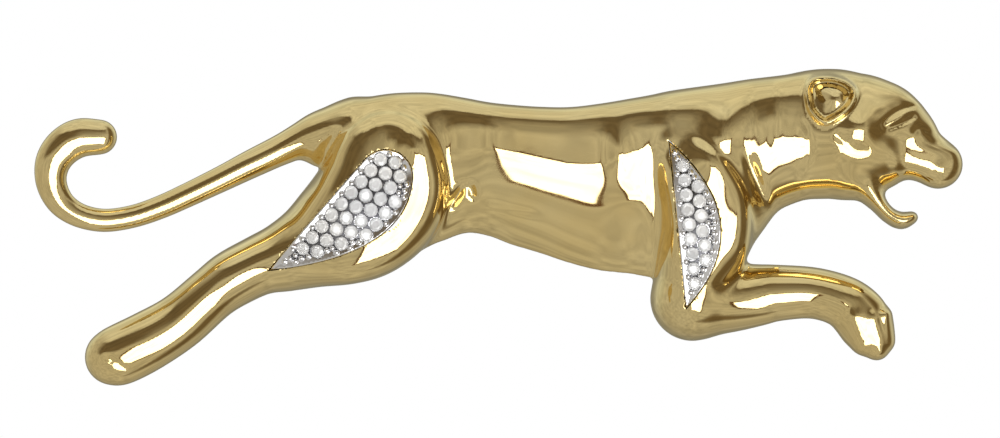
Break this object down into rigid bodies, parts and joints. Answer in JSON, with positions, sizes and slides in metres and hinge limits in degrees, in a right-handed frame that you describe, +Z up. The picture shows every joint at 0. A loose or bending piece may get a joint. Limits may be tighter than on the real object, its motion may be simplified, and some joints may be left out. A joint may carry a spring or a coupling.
{
  "type": "brooch",
  "caption": "Running big-cat brooch: hollow-backed gold casting, stone-set white-metal plates on haunch and shoulder, hinged pin and turning safety catch behind.",
  "frame": {"origin": "on the pin stem's axis, at the middle of its plain cylinder, with the pin closed", "axes": "+X along the pin towards its point and the cat's head, +Z up as worn, +Y out of the back towards the garment, so the cat's front faces -Y"},
  "size_m": [0.0652, 0.0105, 0.022],
  "materials": {
    "yellow_gold": "high polish yellow gold",
    "stem_gold": "drawn hard yellow gold wire, polished",
    "white_gold": null,
    "stones": "round-cut colourless stones"
  },
  "bodies": {
    "brooch": {"panther_body": "yellow_gold", "haunch_plate": "white_gold", "shoulder_plate": "white_gold", "haunch_stones_row_1": "stones", "haunch_stones_row_2": "stones", "haunch_stones_row_3": "stones", "haunch_stones_row_4": "stones", "shoulder_stones_row_1": "stones", "shoulder_stones_row_2": "stones", "hinge_pad": "yellow_gold", "hinge_bracket": "yellow_gold", "hinge_rivet": "yellow_gold", "catch_pad": "yellow_gold", "catch_housing": "yellow_gold"},
    "stem": {"pin_stem": "stem_gold"},
    "rotor": {"catch_rotor": "yellow_gold"}
  },
  "joints": [
    {"name": "stem_swing", "type": "hinge", "parent": "brooch", "child": "stem", "pos_m": [-0.0141, 0, 0], "axis": [0, 0, 1], "range_deg": [0, 110]},
    {"name": "rotor_turn", "type": "hinge", "parent": "brooch", "child": "rotor", "pos_m": [0.015, 0, 0], "axis": [1, 0, 0], "range_deg": [0, 100]}
  ]
}
